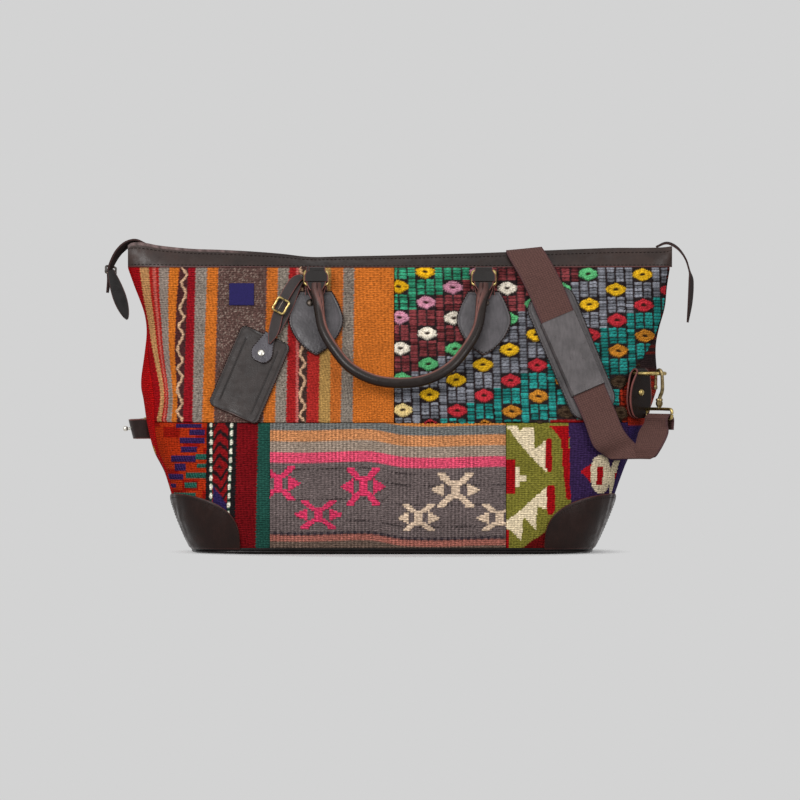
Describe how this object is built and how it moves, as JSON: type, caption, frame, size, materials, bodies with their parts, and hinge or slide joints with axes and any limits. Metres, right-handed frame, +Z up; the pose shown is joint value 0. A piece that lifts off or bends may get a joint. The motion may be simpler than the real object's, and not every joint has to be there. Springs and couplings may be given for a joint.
{
  "type": "weekender bag",
  "caption": "Long kilim and leather travel bag with a zip mouth, swinging rolled handles, a padded shoulder strap on snap hooks and a luggage tag.",
  "frame": {"origin": "middle of the underside of the leather base, where the bag stands", "axes": "+X along the length to the right seen from the front, +Y to the back, +Z up"},
  "size_m": [0.6186, 0.2732, 0.325],
  "materials": {
    "kilim_striped": "flat woven wool, upright stripes",
    "kilim_embroidered": "wool with raised float stitches",
    "kilim_beaded": "wool with raised blocks",
    "kilim_motif": "ribbed wool with woven figures",
    "kilim_green": "wool with saw-toothed figures",
    "kilim_red": "plain red wool",
    "dark_leather": "dark brown, smooth",
    "grey_leather": "grey black, smooth",
    "webbing": "ribbed cotton webbing, plum brown",
    "antique_brass": "aged",
    "nickel": "polished",
    "blue_cloth": "plain woven label",
    "zip_cloth": "zip tape and its covered ends"
  },
  "bodies": {
    "bag": {"front_upper_striped_panel": "kilim_striped", "front_upper_embroidered_panel": "kilim_embroidered", "front_lower_left_panel": "kilim_beaded", "front_lower_centre_panel": "kilim_motif", "front_lower_right_panel": "kilim_green", "back_upper_left_panel": "kilim_striped", "back_upper_right_panel": "kilim_red", "back_lower_panel": "kilim_beaded", "right_gusset": "kilim_red", "left_gusset": "kilim_red", "base_panel": "dark_leather", "front_top_band": "dark_leather", "back_top_band": "dark_leather", "zip_tape": "zip_cloth", "zip_chain": "antique_brass", "front_right_corner_patch": "dark_leather", "front_left_corner_patch": "dark_leather", "back_left_corner_patch": "dark_leather", "back_right_corner_patch": "dark_leather", "front_left_handle_pad": "grey_leather", "front_right_handle_pad": "grey_leather", "back_left_handle_pad": "grey_leather", "back_right_handle_pad": "grey_leather", "front_left_pad_rivet": "antique_brass", "front_right_pad_rivet": "antique_brass", "back_left_pad_rivet": "antique_brass", "back_right_pad_rivet": "antique_brass", "right_end_tab": "dark_leather", "right_tab_stud": "antique_brass", "right_d_ring": "antique_brass", "right_hook": "antique_brass", "right_web_loop": "antique_brass", "left_end_tab": "dark_leather", "left_tab_stud": "antique_brass", "left_d_ring": "antique_brass", "left_hook": "antique_brass", "left_web_loop": "antique_brass", "shoulder_strap": "webbing", "shoulder_pad": "grey_leather", "pad_keeper": "grey_leather", "blue_label": "blue_cloth", "right_zip_tail": "zip_cloth", "left_zip_tail": "zip_cloth", "zip_slider": "antique_brass", "tag_body": "grey_leather", "tag_chape": "grey_leather", "tag_snap": "nickel", "tag_strap": "dark_leather", "tag_buckle": "antique_brass", "tag_prong": "antique_brass"},
    "front_handle": {"front_handle": "dark_leather", "front_left_ring": "antique_brass", "front_right_ring": "antique_brass"},
    "back_handle": {"back_handle": "dark_leather", "back_left_ring": "antique_brass", "back_right_ring": "antique_brass"},
    "zip_pull": {"zip_pull": "dark_leather"},
    "right_trigger": {"right_hook_trigger": "antique_brass"},
    "left_trigger": {"left_hook_trigger": "antique_brass"}
  },
  "joints": [
    {"name": "front_handle_swing", "type": "hinge", "parent": "bag", "child": "front_handle", "pos_m": [0, -0.04079, 0.295], "axis": [-1, 0, 0], "range_deg": [0, 150]},
    {"name": "back_handle_swing", "type": "hinge", "parent": "bag", "child": "back_handle", "pos_m": [0, 0.04079, 0.295], "axis": [1, 0, 0], "range_deg": [0, 150]},
    {"name": "zip_pull_swing", "type": "hinge", "parent": "bag", "child": "zip_pull", "pos_m": [-0.3045, -0.0126, 0.296], "axis": [-0.9404, 0, -0.3401], "range_deg": [0, 70]},
    {"name": "right_trigger_slide", "type": "slide", "parent": "bag", "child": "right_trigger", "axis": [0, 0, -1], "range_m": [0, 0.006], "stiffness_N_per_m": 200},
    {"name": "left_trigger_slide", "type": "slide", "parent": "bag", "child": "left_trigger", "axis": [0.5496, 0.8294, -0.0999], "range_m": [0, 0.006], "stiffness_N_per_m": 200}
  ]
}
